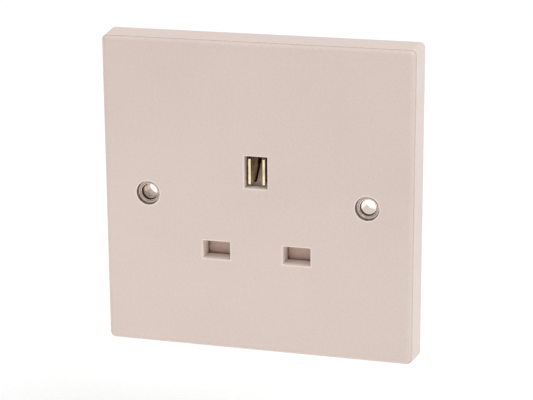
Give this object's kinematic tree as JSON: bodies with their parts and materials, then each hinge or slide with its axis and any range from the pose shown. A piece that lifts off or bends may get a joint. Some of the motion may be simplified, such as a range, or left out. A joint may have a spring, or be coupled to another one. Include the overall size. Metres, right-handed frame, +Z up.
{
  "type": "unswitched socket outlet",
  "caption": "Square wall-plate power outlet with rectangular pin apertures, a sprung safety shutter, eyeleted fixing holes and a wired base behind.",
  "frame": {"origin": "centre of the plate on the wall plane", "axes": "+Z up, +X to the right seen from the front, +Y into the wall"},
  "size_m": [0.086, 0.0257, 0.086],
  "materials": {
    "moulded_plate": "smooth urea moulding, satin gloss",
    "shutter_plastic": "plain moulded",
    "base_plastic": "plain moulded, fine spark texture",
    "contact_brass": "rolled strip, bright",
    "terminal_brass": "machined",
    "eyelet_metal": "nickel plated brass",
    "strap_metal": "tinned strip",
    "spring_steel": "bright spring steel",
    "screw_metal": "zinc plated"
  },
  "bodies": {
    "socket": {"front_plate": "moulded_plate", "socket_base": "base_plastic", "live_contact": "contact_brass", "neutral_contact": "contact_brass", "earth_contact": "contact_brass", "live_contact_clip": "spring_steel", "neutral_contact_clip": "spring_steel", "earth_contact_clip": "spring_steel", "shutter_spring": "spring_steel", "live_terminal": "terminal_brass", "neutral_terminal": "terminal_brass", "earth_terminal": "terminal_brass", "left_eyelet": "eyelet_metal", "right_eyelet": "eyelet_metal", "earth_strap": "strap_metal", "earth_rivet": "terminal_brass", "base_screws": "screw_metal"},
    "shutter": {"shutter": "shutter_plastic"},
    "live_terminal_screw": {"live_terminal_screw": "screw_metal"},
    "neutral_terminal_screw": {"neutral_terminal_screw": "screw_metal"},
    "earth_terminal_screw_left": {"earth_terminal_screw_left": "screw_metal"},
    "earth_terminal_screw_right": {"earth_terminal_screw_right": "screw_metal"}
  },
  "joints": [
    {"name": "shutter_slide", "type": "slide", "parent": "socket", "child": "shutter", "axis": [0, 0, -1], "range_m": [0, 0.006], "stiffness_N_per_m": 150, "springref_m": -0.005, "deforming": ["shutter_spring"]},
    {"name": "live_terminal_screw_travel", "type": "slide", "parent": "socket", "child": "live_terminal_screw", "axis": [0, -1, 0], "range_m": [0, 0.003]},
    {"name": "neutral_terminal_screw_travel", "type": "slide", "parent": "socket", "child": "neutral_terminal_screw", "axis": [0, -1, 0], "range_m": [0, 0.003]},
    {"name": "earth_terminal_screw_left_travel", "type": "slide", "parent": "socket", "child": "earth_terminal_screw_left", "axis": [0, -1, 0], "range_m": [0, 0.003]},
    {"name": "earth_terminal_screw_right_travel", "type": "slide", "parent": "socket", "child": "earth_terminal_screw_right", "axis": [0, -1, 0], "range_m": [0, 0.003]}
  ]
}
